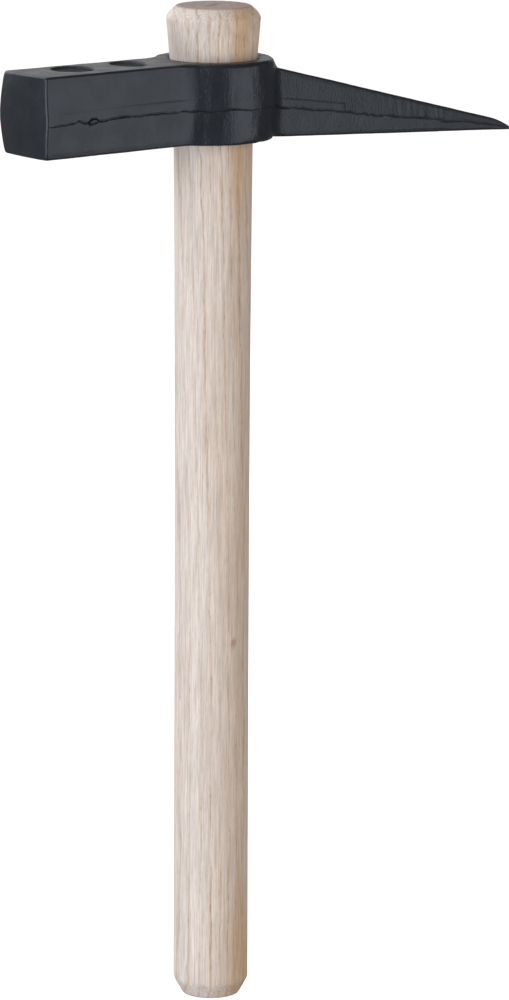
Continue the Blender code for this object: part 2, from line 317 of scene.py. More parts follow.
def band_presence(x):
    """How clearly the sheared band shows at x: it ends squarely on the pick."""
    on_boss = smooth((x + BOSS_MARKS_REACH) / BOSS_MARKS_BLEND)
    on_boss *= smooth((BOSS_MARKS_REACH - x) / BOSS_MARKS_BLEND)
    ended = smooth((x - PICK_BAND_END_X) / (0.3 * MM))
    return (1.0 - BAND_FADE_ON_BOSS * on_boss) * (1.0 - ended)


def side_offset(x, z, bottom, top, bulge):
    """How far a side leans out at height z, beyond the head's top and bottom edges."""
    share = np.clip((z - bottom) / (top - bottom), 0.0, 1.0)
    flash = flash_share(x)
    fading = 1.0 - smooth((x - 30.0 * MM) / (60.0 * MM))
    band_top = min(flash + 0.8 * band_height(x) * fading / (top - bottom), 0.9)
    above = bulge * (1.0 - share) / (1.0 - band_top)
    below = bulge * share / flash
    return np.minimum(np.minimum(above, below), bulge)


def section_sizes(x):
    half_width = plan_half_width(x)
    top = float(top_height(x, half_width))
    bottom = float(bottom_height(x, half_width))
    neck_bulge = RIDGE_BULGE_POLL
    if x > 0.0:
        neck_bulge = RIDGE_BULGE_PICK * (top - bottom) / (HEAD_TOP - HEAD_BOTTOM)
    bulge = mix(neck_bulge, RIDGE_BULGE_BOSS, smooth(2.0 * (1.0 - abs(x) / PICK_ROOT_X)))
    limit = EDGE_RADIUS_SHARE * (top - bottom)
    upper, lower = (min(edge_radius(x, peak), limit) for peak in (UPPER_EDGE_X, LOWER_EDGE_X))
    return half_width, top, bottom, bulge, upper, lower


def head_section(x):
    """(n, 2) array of (y, z) round the head at x, fine near the flash line."""
    half_width, top, bottom, bulge, upper, lower = section_sizes(x)
    turn = np.linspace(0.0, math.pi / 2.0, 8)[1:]
    flat_y = np.linspace(0.0, half_width - upper, 25)
    upper_flat = np.column_stack((flat_y, top_height(x, flat_y)))
    arc_y = half_width - upper * (1.0 - np.sin(turn))
    upper_arc = np.column_stack((arc_y, top_height(x, arc_y) - upper * (1.0 - np.cos(turn))))

    height = top - bottom
    flash = bottom + flash_share(x) * height
    near = min(1.1 * MM, 0.12 * height)
    band_top = min(flash + band_height(x), top - upper - 0.2 * height)
    band_top = max(band_top, flash + 1.6 * near)
    near_band = 0.4 * near
    limits = np.array((
        top - upper, band_top + near_band, band_top - near_band, flash + near, flash - near, bottom + lower,
    ))
    side_z = uneven_steps(limits, (16, 6, 5, 16, 15))[1:-1]
    side_y = half_width + side_offset(x, side_z, bottom, top, bulge)
    side = np.column_stack((side_y, side_z))

    back = turn[::-1]
    arc_y = half_width - lower * (1.0 - np.sin(back))
    lower_arc = np.column_stack((arc_y, bottom_height(x, arc_y) + lower * (1.0 - np.cos(back))))
    flat_y = np.linspace(half_width - lower, 0.0, 15)
    lower_flat = np.column_stack((flat_y, bottom_height(x, flat_y)))
    half = np.concatenate((upper_flat, upper_arc, side, lower_arc, lower_flat))
    other = half[-2:0:-1] * np.array((-1.0, 1.0))
    return np.concatenate((half, other))


def face_rings(section):
    """Rings from the middle of the striking face out over its rounded edge."""
    middle = 0.5 * (HEAD_BOTTOM + HEAD_TOP)
    corner = math.hypot(POLL_FACE_HALF_WIDTH, HEAD_TOP - middle)

    def ring(scale, behind):
        y = section[:, 0] * scale
        lift = (section[:, 1] - middle) * scale
        share = np.maximum(0.0, (np.hypot(y, lift) / corner) ** 2 - FACE_FLAT_SHARE ** 2)
        return np.column_stack((POLL_FACE_X + FACE_CROWN * share + behind, y, middle + lift))

    inner = 1.0 - FACE_EDGE_RADIUS / POLL_FACE_HALF_WIDTH
    rings = [ring(scale, 0.0) for scale in np.linspace(0.02, inner, 22)]
    for angle in np.linspace(0.0, math.pi / 2.0, 9)[1:-1]:
        inset = FACE_EDGE_RADIUS * (1.0 - math.sin(angle))
        behind = FACE_EDGE_RADIUS * (1.0 - math.cos(angle))
        rings.append(ring(1.0 - inset / POLL_FACE_HALF_WIDTH, behind))
    return rings


def head_rings():
    start = POLL_FACE_X + FACE_CROWN + FACE_EDGE_RADIUS
    limits = (start, -POLL_NECK_X, PICK_NECK_X, PICK_TIP_X - CHISEL_BEVEL_LENGTH, PICK_TIP_X)
    steps = [int((b - a) / size) for a, b, size in zip(limits, limits[1:], STATION_SPACING)]
    band_end = PICK_BAND_END_X + np.arange(-0.6, 0.65, 0.1) * MM
    stations = uneven_steps(np.array(limits), steps)
    stations = stations[np.abs(stations - PICK_BAND_END_X) > 0.75 * MM]
    burr = BURR_X + np.linspace(-1.15, 1.15, 24) * BURR_HALF_LENGTH
    stations = stations[np.abs(stations - BURR_X) > 1.2 * BURR_HALF_LENGTH]
    stations = np.sort(np.concatenate((stations, band_end, burr)))
    rings = face_rings(head_section(stations[0]))
    for x in stations:
        section = head_section(x)
        rings.append(np.column_stack((np.full(len(section), x), section)))
    return rings


# --- Meshes -----------------------------------------------------------------------

def lofted_object(name, rings):
    """A closed object skinned over rings of equal point counts."""
    count = len(rings[0])
    points = np.concatenate(rings)
    first = np.arange(len(rings) - 1)[:, None] * count + np.arange(count)[None, :]
    turned = np.arange(len(rings) - 1)[:, None] * count + np.roll(np.arange(count), -1)[None, :]
    quads = np.stack((first, turned, turned + count, first + count), axis=-1).reshape(-1, 4)
    start_cap = list(range(count))[::-1]
    end_cap = list(range(len(points) - count, len(points)))
    mesh = bpy.data.meshes.new(name)
    mesh.from_pydata(points.tolist(), [], quads.tolist() + [start_cap, end_cap])
    mesh.update()
    made = bpy.data.objects.new(name, mesh)
    bpy.context.scene.collection.objects.link(made)
    return made


def face_out(mesh):
    """Turns the mesh inside out if its faces point in."""
    mesh.calc_loop_triangles()
    corners = np.array([t.vertices for t in mesh.loop_triangles])
    points = read_points(mesh)
    a, b, c = (points[corners[:, i]] for i in range(3))
    volume = np.einsum("ij,ij->i", a, np.cross(b, c)).sum()
    if volume < 0.0:
        mesh.flip_normals()


def read_points(mesh):
    points = np.zeros(len(mesh.vertices) * 3)
    mesh.vertices.foreach_get("co", points)
    return points.reshape(-1, 3)


def read_normals(mesh):
    normals = np.zeros(len(mesh.vertices) * 3)
    mesh.vertices.foreach_get("normal", normals)
    return normals.reshape(-1, 3)


def store(mesh, name, values):
    """A per-vertex number that the material reads."""
    attribute = mesh.attributes.new(name, "FLOAT", "POINT")
    attribute.data.foreach_set("value", values.astype(np.float32))


def turned_rings(profile, segments):
    """Rings round the Z axis, one for each (radius, z) row of a profile."""
    angles = np.linspace(0.0, 2.0 * math.pi, segments, endpoint=False)
    circle = np.column_stack((np.cos(angles), np.sin(angles)))
    return [np.column_stack((circle * radius, np.full(segments, z))) for radius, z in profile]


def subtract(target, cutter):
    """Cuts the cutter out of the target for good, and removes it."""
    boolean = target.modifiers.new("cut", "BOOLEAN")
    boolean.operation = "DIFFERENCE"
    boolean.solver = "EXACT"
    boolean.object = cutter
    graph = bpy.context.evaluated_depsgraph_get()
    cut = bpy.data.meshes.new_from_object(target.evaluated_get(graph))
    target.modifiers.clear()
    target.data = cut
    bpy.data.objects.remove(cutter)


# --- Handle form --------------------------------------------------------------------

def handle_radius(z):
    """Radius of the turned handle at height z, above the butt's chamfer."""
    waist = mix(GRIP_RADIUS, WAIST_RADIUS, (z - GRIP_HEIGHT) / (WAIST_HEIGHT - GRIP_HEIGHT))
    neck_share = np.clip((z - WAIST_HEIGHT) / (NECK_HEIGHT - WAIST_HEIGHT), 0.0, 1.0)
    neck = mix(WAIST_RADIUS, NECK_RADIUS, neck_share ** 3.0)
    taper_share = np.clip((z - NECK_HEIGHT) / (CROWN_HEIGHT - NECK_HEIGHT), 0.0, 1.0)
    taper = mix(NECK_RADIUS, CROWN_RADIUS, taper_share ** 1.5)
    crown_share = np.clip((z - CROWN_HEIGHT) / (HANDLE_LENGTH - CROWN_HEIGHT), 0.0, 1.0)
    crown = mix(CROWN_RADIUS, TOP_FACE_RADIUS, crown_share ** 1.6)
    limits = [z <= GRIP_HEIGHT, z <= WAIST_HEIGHT, z <= NECK_HEIGHT, z <= CROWN_HEIGHT]
    return np.select(limits, [GRIP_RADIUS + 0.0 * z, waist, neck, taper], crown)


def handle_profile():
    """(radius, z) rows from the middle of the butt, up the side, to the middle of the top."""
    rows = [(radius, 0.0) for radius in np.linspace(0.3 * MM, BUTT_FACE_RADIUS - 0.5 * MM, 22)]
    rows += [(BUTT_FACE_RADIUS - 0.1 * MM, 0.1 * MM), (BUTT_FACE_RADIUS + 0.2 * MM, 0.45 * MM)]
    chamfer = np.linspace(0.15, 0.85, 12)
    rows += [(mix(BUTT_FACE_RADIUS, GRIP_RADIUS, s), s * BUTT_CHAMFER_HEIGHT) for s in chamfer]
    rows += [(GRIP_RADIUS - 0.25 * MM, 5.95 * MM), (GRIP_RADIUS - 0.05 * MM, 6.7 * MM)]
    shaft = np.arange(7.5 * MM, NECK_HEIGHT, 1.3 * MM)
    taper = np.linspace(NECK_HEIGHT, CROWN_HEIGHT, 70)
    crown = np.linspace(CROWN_HEIGHT, HANDLE_LENGTH - 0.25 * MM, 19)[1:]
    heights = np.concatenate((shaft, taper, crown))
    rows += list(zip(handle_radius(heights), heights))
    rows += [(TOP_FACE_RADIUS - 0.1 * MM, HANDLE_LENGTH - 0.08 * MM)]
    rows += [(radius, HANDLE_LENGTH) for radius in np.linspace(TOP_FACE_RADIUS - 0.5 * MM, 0.2 * MM, 44)]
    return rows


def growth_rings(points):
    """Ring count from the tree's pith, which lies off to one side of the stick."""
    x, y, z = points.T
    above = z - GRAIN_STRAIGHT_BELOW
    lean = 0.5 * GRAIN_LEAN * (above + np.hypot(above, 40.0 * MM))
    sway = 0.9 * MM * noise(points, (12.0 * MM, 12.0 * MM, 60.0 * MM), 4)
    wavy = 0.46 * MM * noise(points, (3.0 * MM, 3.0 * MM, 13.0 * MM), 5)
    in_crown = smooth((z - 352.0 * MM) / (20.0 * MM))
    fine = (0.30 + 0.28 * in_crown) * MM * noise(points, (1.4 * MM, 1.4 * MM, 4.0 * MM), 7)
    distance = np.hypot(x - PITH[0], y - PITH[1]) - lean + sway + wavy + fine
    uneven = 0.42 * line_noise(distance, 7.0 * MM, 6)
    return distance / RING_WIDTH + uneven


def heart_tint(points):
    """How far each point of the wood has the warm tint of the side nearest the pith."""
    x, y, z = points.T
    towards_pith = (x * PITH[0] + y * PITH[1]) / math.hypot(*PITH)
    near_top = smooth((z - 305.0 * MM) / (40.0 * MM))
    near_butt = smooth((60.0 * MM - z) / (60.0 * MM))
    ends = 0.30 + 0.70 * np.maximum(near_top, near_butt)
    patchy = 1.0 + 0.5 * noise(points, (2.4 * MM, 2.4 * MM, 30.0 * MM), 8)
    broad = 0.5 + 0.5 * noise(points, (5.0 * MM, 5.0 * MM, 60.0 * MM), 9)
    wander = 1.2 * MM * line_noise(z, 40.0 * MM, 10)
    wander += 0.8 * MM * noise(points, (2.0 * MM, 2.0 * MM, 7.0 * MM), 12)
    streak = np.exp(-((towards_pith - HEART_STREAK - wander) / (2.2 * MM)) ** 2)
    warm = (0.45 * smooth((towards_pith - 3.0 * MM) / (8.0 * MM)) + 0.75 * streak) * ends * patchy
    warm += (0.20 + 0.15 * near_butt) * smooth((towards_pith + 7.0 * MM) / (14.0 * MM)) + 0.15 * broad ** 2
    return np.clip(warm, 0.0, 1.0)


def knot_fleck(points):
    """How brown each point is with the small soft fleck on the front of the shaft."""
    x, y, z = (points - FLECK).T
    reach = np.hypot(x / (1.2 * MM), (z - 0.25 * x) / (1.7 * MM))
    return 0.55 * smooth(1.6 - reach) * (np.abs(y) < 3.0 * MM)


def early_wood(rings):
    """1 at the start of each ring's open wood, falling to 0 in its dense wood."""
    phase = rings - np.floor(rings)
    return smooth(phase / 0.05) * (1.0 - smooth((phase - 0.08) / 0.28))


def centre_mark(x, y):
    """Depth of the plain cross and hole that a lathe's drive centre leaves in the top."""
    turn = math.radians(24.0)
    along = x * math.cos(turn) + y * math.sin(turn)
    across = y * math.cos(turn) - x * math.sin(turn)
    slots = np.zeros(len(x))
    for run, side in ((along, across), (across, along)):
        slots = np.maximum(slots, hump(side, 0.9 * MM) * smooth((6.5 * MM - np.abs(run)) / (1.5 * MM)))
    hole = smooth((1.9 * MM - np.hypot(x, y)) / (0.9 * MM))
    return np.maximum(0.55 * MM * slots, 1.3 * MM * hole)


def make_handle():
    handle = lofted_object("ash_handle", turned_rings(handle_profile(), HANDLE_SEGMENTS))
    mesh = handle.data
    face_out(mesh)
    points = read_points(mesh)
    normals = read_normals(mesh)
    rings = growth_rings(points)
    x, y, z = points.T
    skin = 0.035 * MM * noise(points, (9.0 * MM, 9.0 * MM, 60.0 * MM), 11)
    sunk = 0.030 * MM * early_wood(rings) + 0.020 * MM
    points += normals * (0.5 * skin - sunk)[:, None]
    on_top = z > HANDLE_LENGTH - 0.2 * MM
    points[:, 2] -= np.where(on_top, centre_mark(x, y), 0.0)
    points[:, 2] = np.clip(points[:, 2], HANDLE_LOW.z, HANDLE_HIGH.z)
    mesh.vertices.foreach_set("co", points.ravel())
    store(mesh, "growth", rings)
    store(mesh, "heart", heart_tint(points))
    store(mesh, "fleck", knot_fleck(points))
    store(mesh, "end_wood", smooth((np.abs(normals[:, 2]) - 0.72) / 0.2))
    mesh.shade_smooth()
    mesh.set_sharp_from_angle(angle=math.radians(50.0))
    return handle


# --- Forged head ----------------------------------------------------------------------

def eye_profile():
    """(radius, z) rows of the tapered eye, with a rounded rim at each end."""
    turn = np.linspace(math.radians(78.0), 0.0, 9)
    rise = EYE_RIM_RADIUS * (1.0 - np.sin(turn))
    flare = EYE_RIM_RADIUS * (1.0 - np.cos(turn)) + FIT_GAP
    lower = np.column_stack((handle_radius(HEAD_BOTTOM + rise) + flare, HEAD_BOTTOM + rise))
    upper = np.column_stack((handle_radius(HEAD_TOP - rise) + flare, HEAD_TOP - rise))[::-1]
    bore_z = np.linspace(lower[-1, 1], upper[0, 1], 16)[1:-1]
    bore = np.column_stack((handle_radius(bore_z) + FIT_GAP, bore_z))
    below = np.array([[lower[0, 0], HEAD_BOTTOM - MM]])
    above = np.array([[upper[-1, 0], HEAD_TOP + MM]])
    return np.concatenate((below, lower, bore, upper, above))


def side_lines(x):
    """Heights of the flash line and of the top of its band, and the side's top and bottom, at each x."""
    grid = np.linspace(POLL_FACE_X, PICK_TIP_X, 800)
    sizes = [section_sizes(value) for value in grid]
    top = np.interp(x, grid, [row[1] for row in sizes])
    bottom = np.interp(x, grid, [row[2] for row in sizes])
    flash = bottom + flash_share(x) * (top - bottom)
    return flash, flash + band_height(x), top, bottom


def recess_share(x, y):
    """How much each point is inside the poll's two plain recesses, from 0 to 1."""
    inside = np.zeros(len(x))
    for centre_x, centre_y, half_length, half_width in RECESSES:
        reach = np.hypot((x - centre_x) / half_length, (y - centre_y) / half_width)
        inward = (1.0 - reach) * min(half_length, half_width)
        inside = np.maximum(inside, smooth(inward / RECESS_WALL_RUN))
    return inside


def ragged_flash(x, y, height, slim):
    """Height of each point above the ragged flash line, and how strong the line is there.

    height is the point's height above the line's even run.
    """
    far_side = np.where(y < 0.0, 0.0, 1.0)
    along = x + FAR_SIDE_SHIFT * far_side
    (wander_length, wander_height), (coarse, fine) = FLASH_WANDER, FLASH_JAGS
    wander = wander_height * line_noise(along, wander_length, 21)
    jagged = coarse[1] * line_noise(along, coarse[0], 22) + fine[1] * line_noise(along, fine[0], 25)
    rise = FLASH_RISE * np.exp(-((x - FLASH_RISE_X) / FLASH_RISE_REACH) ** 2) * (1.0 - far_side)
    strength = 0.90 + 0.25 * line_noise(along, 3.4 * MM, 23)
    strength *= mix(1.0, 0.75, hump(x, 24.0 * MM)) * mix(1.0, 0.7, smooth((x - 24.0 * MM) / (10.0 * MM)))
    return height - rise - (wander + jagged) * slim, strength


def flash_relief(above_flash, outside_burr, burr, strength, slim):
    """How far the flash line's ridge and groove and the poll's small burr stand out."""
    ridge = FLASH_RIDGE * np.exp(-((above_flash - 0.30 * MM) / (0.30 * MM)) ** 2) * (burr == 0.0)
    groove = FLASH_GROOVE * np.exp(-((outside_burr + 0.14 * MM) / (0.26 * MM)) ** 2)
    lump = BURR_LUMP * smooth((burr - np.abs(above_flash)) / (0.8 * MM))
    return (ridge - groove) * strength * slim + lump


def band_marks(x, z, band_top, above_flash):
    """How far each point lies on the sheared band's upper edge, in the band, and on its square end."""
    presence = band_presence(x) * smooth((x - POLL_FACE_X - 6.0 * MM) / (3.0 * MM))
    faint = mix(0.45, 1.0, smooth((x + 70.0 * MM) / (45.0 * MM)))
    upper_edge = np.exp(-((z - band_top) / (0.22 * MM)) ** 2) * presence * faint
    in_band = smooth((band_top - z) / (0.3 * MM)) * smooth(above_flash / (0.3 * MM)) * presence
    end = np.exp(-((x - PICK_BAND_END_X) / (0.2 * MM)) ** 2) * smooth((band_top - z) / (0.2 * MM))
    return upper_edge, in_band, end * smooth(above_flash / (0.3 * MM))


def trim_marks(points, above_flash, in_band):
    """Upright scores that the trimming press leaves on the pick and, faintly, in the band."""
    x = points[:, 0]
    scored = noise(points, (1.3 * MM, 9.0 * MM, 9.0 * MM), 24)
    scored += 0.6 * noise(points, (0.6 * MM, 9.0 * MM, 6.0 * MM), 26)
    trim = smooth((x - TRIM_START_X) / (16.0 * MM)) * smooth((TRIM_END_X - x) / (26.0 * MM))
    trim *= smooth(above_flash / (0.5 * MM)) * smooth((11.0 * MM - above_flash) / (4.0 * MM))
    return scored * (1.05 * trim + 0.15 * in_band)


def skin_relief(points, outside, thickness):
    """The uneven skin of a forging, gentler where the head is thin, and streaky on the boss."""
    thin = np.clip(thickness / (10.0 * MM), 0.2, 1.0)
    on_boss = outside * smooth((26.0 * MM - np.abs(points[:, 0])) / (6.0 * MM))
    (streak_size, streak_depth), (lump_size, lump_depth) = BOSS_STREAKS, BOSS_LUMPS
    streaky = streak_depth * noise(points, streak_size, 27)
    relief = (streaky + lump_depth * noise(points, lump_size, 28)) * on_boss
    for seed, (size, depth) in enumerate(SKIN_WAVES, start=31):
        relief += depth * noise(points, size, seed) * outside * thin
    return relief - SKIN_SETBACK * outside


def sink_recesses(points, normals, outside):
    """Sinks the poll's recesses, with lumpy floors, and gives how far each point is inside one."""
    on_top = outside * smooth((normals[:, 2] - 0.7) / 0.2)
    sunk = recess_share(points[:, 0], points[:, 1]) * on_top
    floor_lumps = sum(
        depth * noise(points, size, seed) for seed, (size, depth) in enumerate(RECESS_LUMPS, start=41)
    )
    points[:, 2] -= sunk * (RECESS_DEPTH - floor_lumps)
    return sunk


def forge_head(mesh):
    """Gives the head's mesh the marks and skin of its forging, and a mask of painted shade along the flash
    line and the band's edges.
    """
    points = read_points(mesh)
    normals = read_normals(mesh)
    x, y, z = points.T
    in_bore = hump(np.hypot(x, y) - handle_radius(z), 2.0 * MM) > 0.0
    outside = np.where(in_bore, 0.0, 1.0)
    facing_side = outside * smooth((np.abs(normals[:, 1]) + 0.6 * np.abs(normals[:, 0]) - 0.6) / 0.3)
    facing_side *= smooth((x - POLL_FACE_X - 1.8 * MM) / (0.8 * MM))
    flash, band_top, top, bottom = side_lines(x)
    slim = np.clip((top - bottom) / (9.0 * MM), 0.15, 1.0)

    above_flash, strength = ragged_flash(x, y, z - flash, slim)
    burr = BURR_HALF_HEIGHT * np.clip(1.0 - ((x - BURR_X) / BURR_HALF_LENGTH) ** 2, 0.0, 1.0)
    outside_burr = np.where(burr > 0.0, np.abs(above_flash) - burr, above_flash)
    upper_edge, in_band, band_end = band_marks(x, z, band_top, above_flash)
    # Painted shade: the flash line's groove, the band's upper edge and its square end are darkened in the
    # paint's colour where shade falls in them; this mask carries that painted shade.
    line = np.exp(-((outside_burr + 0.12 * MM) / (0.28 * MM)) ** 2) * np.clip(strength, 0.4, 1.0)
    edges = np.maximum(0.5 * upper_edge, 0.6 * band_end)
    painted_crevice_shade = np.maximum(line, edges) * facing_side

    offset = flash_relief(above_flash, outside_burr, burr, strength, slim)
    offset -= DIE_MISMATCH * smooth(-above_flash / (0.4 * MM)) * smooth((z - bottom) / (8.0 * MM))
    offset -= BAND_EDGE_DEPTH * upper_edge + BAND_DEPTH * in_band + BAND_END_DEPTH * band_end
    offset += TRIM_MARK_DEPTH * trim_marks(points, above_flash, in_band)
    offset = offset * facing_side + skin_relief(points, outside, top - bottom)
    points += normals * offset[:, None]
    recess = sink_recesses(points, normals, outside)
    mesh.vertices.foreach_set("co", np.clip(points, np.array(HEAD_LOW), np.array(HEAD_HIGH)).ravel())

    roughest = smooth((x + 28.0 * MM) / (9.0 * MM)) * (1.0 - 0.6 * smooth((x - 22.0 * MM) / (8.0 * MM)))
    # Mask of painted shade along the flash line and the band's edges, read by the paint's colour and
    # roughness.
    store(mesh, "painted_crevice_shade", painted_crevice_shade)
    store(mesh, "coarse", np.maximum(0.35 + 0.65 * roughest, recess))
    store(mesh, "recess", recess)


def make_head():
    head = lofted_object("forged_head", head_rings())
    face_out(head.data)
    eye = lofted_object("eye_cutter", turned_rings(eye_profile(), EYE_SEGMENTS))
    face_out(eye.data)
    subtract(head, eye)
    forge_head(head.data)
    head.data.shade_smooth()
    head.data.set_sharp_from_angle(angle=math.radians(42.0))
    return head


# --- Materials --------------------------------------------------------------------------

def add(tree, kind, inputs=None, **settings):
    """A shader node with its settings, and its inputs given as values or sockets."""
    made = tree.nodes.new("ShaderNode" + kind)
    for key, value in settings.items():
        setattr(made, key, value)
    for key, value in (inputs or {}).items():
        if isinstance(value, bpy.types.NodeSocket):
            tree.links.new(value, made.inputs[key])
        else:
            made.inputs[key].default_value = value
    return made


def maths(tree, operation, *values):
    return add(tree, "Math", dict(enumerate(values)), operation=operation).outputs[0]


def blend_colours(tree, share, first, second, mode="MIX"):
    made = add(tree, "Mix", data_type="RGBA", blend_type=mode)
    for index, value in ((0, share), (6, first), (7, second)):
        if isinstance(value, bpy.types.NodeSocket):
            tree.links.new(value, made.inputs[index])
        else:
            made.inputs[index].default_value = value
    return made.outputs[2]


def mapped(tree, value, low, high, to_low=0.0, to_high=1.0):
    """value, from low to high, smoothly mapped to to_low and to_high."""
    return add(
        tree, "MapRange",
        {0: value, 1: low, 2: high, 3: to_low, 4: to_high},
        interpolation_type="SMOOTHSTEP",
    ).outputs[0]


def grain(tree, coordinates, size, detail=2.0, roughness=0.5):
    """A noise texture whose lumps are size across, in metres along each axis."""
    inverse = tuple(1.0 / value for value in size)
    scaled = add(tree, "VectorMath", {0: coordinates, 1: inverse}, operation="MULTIPLY").outputs[0]
    inputs = {"Vector": scaled, "Scale": 1.0, "Detail": detail, "Roughness": roughness}
    return add(tree, "TexNoise", inputs).outputs[0]


def attribute(tree, name):
    return add(tree, "Attribute", attribute_name=name).outputs["Fac"]


def new_material(name):
    material = bpy.data.materials.new(name)
    material.use_nodes = True
    tree = material.node_tree
    shader = tree.nodes["Principled BSDF"]
    coordinates = add(tree, "TexCoord").outputs["Object"]
    return material, tree, shader, coordinates


def link(tree, source, shader, socket):
    tree.links.new(source, shader.inputs[socket])


def paint_material():
    """Thin satin black paint over a forged skin, with painted shade darkening the flash line's groove and
    the sheared band's edges.
    """
    material, tree, shader, coordinates = new_material("black_paint")
    painted_crevice_shade = attribute(tree, "painted_crevice_shade")
    recess = attribute(tree, "recess")
    cloud = grain(tree, coordinates, (9.0 * MM,) * 3, 3.0)
    speck = grain(tree, coordinates, (0.5 * MM,) * 3, 2.0)
    base = blend_colours(tree, cloud, (0.0110, 0.0130, 0.0170, 1.0), (0.0155, 0.0178, 0.0225, 1.0))
    dusty = mapped(tree, speck, 0.62, 0.80, 0.0, 0.5)
    base = blend_colours(tree, dusty, base, (0.040, 0.043, 0.047, 1.0))
    # Painted shade: near black along the flash line's groove and the band's edges.
    base = blend_colours(tree, painted_crevice_shade, base, (0.003, 0.003, 0.004, 1.0))
    link(tree, base, shader, "Base Color")
    rough = mapped(tree, cloud, 0.3, 0.7, 0.28, 0.37)
    rough = maths(tree, "ADD", rough, maths(tree, "MULTIPLY", recess, 0.5))
    rough = maths(tree, "ADD", rough, maths(tree, "MULTIPLY", painted_crevice_shade, 0.30))
    link(tree, rough, shader, "Roughness")
    coarse = attribute(tree, "coarse")
    peel = grain(tree, coordinates, (0.85 * MM,) * 3, 2.0)
    streak = grain(tree, coordinates, (0.7 * MM, 0.7 * MM, 4.0 * MM), 2.0)
    pits = mapped(tree, grain(tree, coordinates, (1.6 * MM,) * 3, 1.0), 0.62, 0.78, 0.0, -0.5)
    height = maths(tree, "ADD", peel, maths(tree, "ADD", maths(tree, "MULTIPLY", speck, 0.35), pits))
    height = maths(tree, "ADD", height, maths(tree, "MULTIPLY", streak, 0.9))
    height = maths(tree, "MULTIPLY", height, coarse)
    bump = add(tree, "Bump", {"Strength": 1.0, "Distance": 0.10 * MM, "Height": height})
    link(tree, bump.outputs[0], shader, "Normal")
    shader.inputs["Specular IOR Level"].default_value = 0.44
    shader.inputs["Specular Tint"].default_value = (0.785, 0.870, 1.0, 1.0)
    return material


def early_wood_share(tree, rings, coordinates):
    """How far the open early wood shows: at the start of each ring, fading along it and mid-shaft."""
    phase = maths(tree, "FRACT", rings)
    opening = mapped(tree, phase, 0.0, 0.05)
    closing = mapped(tree, phase, 0.10, 0.34, 1.0, 0.0)
    start = maths(tree, "MULTIPLY", opening, closing)
    ring_number = {"W": maths(tree, "FLOOR", rings)}
    each_ring = add(tree, "TexWhiteNoise", ring_number, noise_dimensions="1D").outputs[0]
    fading = grain(tree, coordinates, (2.0 * MM, 2.0 * MM, 28.0 * MM), 2.0)
    by_ring = mapped(tree, each_ring, 0.0, 1.0, 0.55, 1.0)
    along_ring = mapped(tree, fading, 0.35, 0.65, 0.25, 1.0)
    strength = maths(tree, "MULTIPLY", by_ring, along_ring)
    height_up = add(tree, "SeparateXYZ", {0: coordinates}).outputs["Z"]
    near_top = mapped(tree, height_up, 0.25, 0.34, 0.72, 1.0)
    near_butt = mapped(tree, height_up, 0.015, 0.09, 1.0, 0.72)
    strength = maths(tree, "MULTIPLY", strength, maths(tree, "MAXIMUM", near_top, near_butt))
    return maths(tree, "MULTIPLY", start, strength)


def ash_material():
    """Bare sanded ash: rings with a row of open pores, fine fibres and duller end grain."""
    material, tree, shader, coordinates = new_material("ash_wood")
    end_wood = attribute(tree, "end_wood")
    heart = attribute(tree, "heart")
    early = early_wood_share(tree, attribute(tree, "growth"), coordinates)
    fibre = grain(tree, coordinates, (0.55 * MM, 0.55 * MM, 16.0 * MM), 4.0, 0.65)
    broad = grain(tree, coordinates, (5.0 * MM, 5.0 * MM, 70.0 * MM), 3.0)
    streaks = grain(tree, coordinates, (1.0 * MM, 1.0 * MM, 24.0 * MM), 2.0)
    pores = grain(tree, coordinates, (0.30 * MM, 0.30 * MM, 3.4 * MM), 2.0)

    base = blend_colours(tree, mapped(tree, broad, 0.35, 0.65), SAPWOOD, SAPWOOD_GREY)
    base = blend_colours(tree, mapped(tree, streaks, 0.50, 0.68, 0.0, 0.55), base, OLIVE_STREAK)
    base = blend_colours(tree, heart, base, HEARTWOOD)
    base = blend_colours(tree, maths(tree, "MULTIPLY", early, 0.85), base, EARLY_WOOD)
    light = mapped(tree, fibre, 0.28, 0.72, 0.82, 1.14)
    grey = add(tree, "CombineColor", {0: light, 1: light, 2: light}).outputs[0]
    base = blend_colours(tree, 1.0, base, grey, "MULTIPLY")
    open_pore = mapped(tree, pores, 0.54, 0.66)
    pore_density = maths(tree, "ADD", 0.14, maths(tree, "MULTIPLY", early, 0.62))
    pore_share = maths(tree, "MULTIPLY", open_pore, pore_density)
    base = blend_colours(tree, pore_share, base, PORE)
    base = blend_colours(tree, attribute(tree, "fleck"), base, FLECK_BROWN)
    base = blend_colours(tree, maths(tree, "MULTIPLY", end_wood, 0.80), base, END_GRAIN)
    link(tree, base, shader, "Base Color")
    rough = mapped(tree, fibre, 0.2, 0.8, 0.68, 0.56)
    link(tree, rough, shader, "Roughness")
    height = maths(tree, "SUBTRACT", maths(tree, "MULTIPLY", fibre, 0.5), pore_share)
    bump = add(tree, "Bump", {"Strength": 0.8, "Distance": 0.06 * MM, "Height": height})
    link(tree, bump.outputs[0], shader, "Normal")
    shader.inputs["Specular IOR Level"].default_value = 0.3
    return material


# --- Stage, light and camera ----------------------------------------------------------------

def make_floor():
    """A pale floor under the butt end, as wide as any view of the hammer needs."""
    half = FLOOR_HALF_WIDTH
    corners = [(-half, -half, 0.0), (half, -half, 0.0), (half, half, 0.0), (-half, half, 0.0)]
    mesh = bpy.data.meshes.new("floor")
    mesh.from_pydata(corners, [], [(0, 1, 2, 3)])
    floor = bpy.data.objects.new("floor", mesh)
    floor.location.z = HANDLE_LOW.z - 0.3 * MM
    bpy.context.scene.collection.objects.link(floor)
    material, _, shader, _ = new_material("pale_floor")
    shader.inputs["Base Color"].default_value = (0.80, 0.80, 0.80, 1.0)
    shader.inputs["Roughness"].default_value = 0.9
    shader.inputs["Emission Color"].default_value = (1.0, 1.0, 1.0, 1.0)
    shader.inputs["Emission Strength"].default_value = FLOOR_GLOW
    mesh.materials.append(material)
    floor.visible_diffuse = False
    floor.visible_glossy = False
    floor.visible_shadow = False


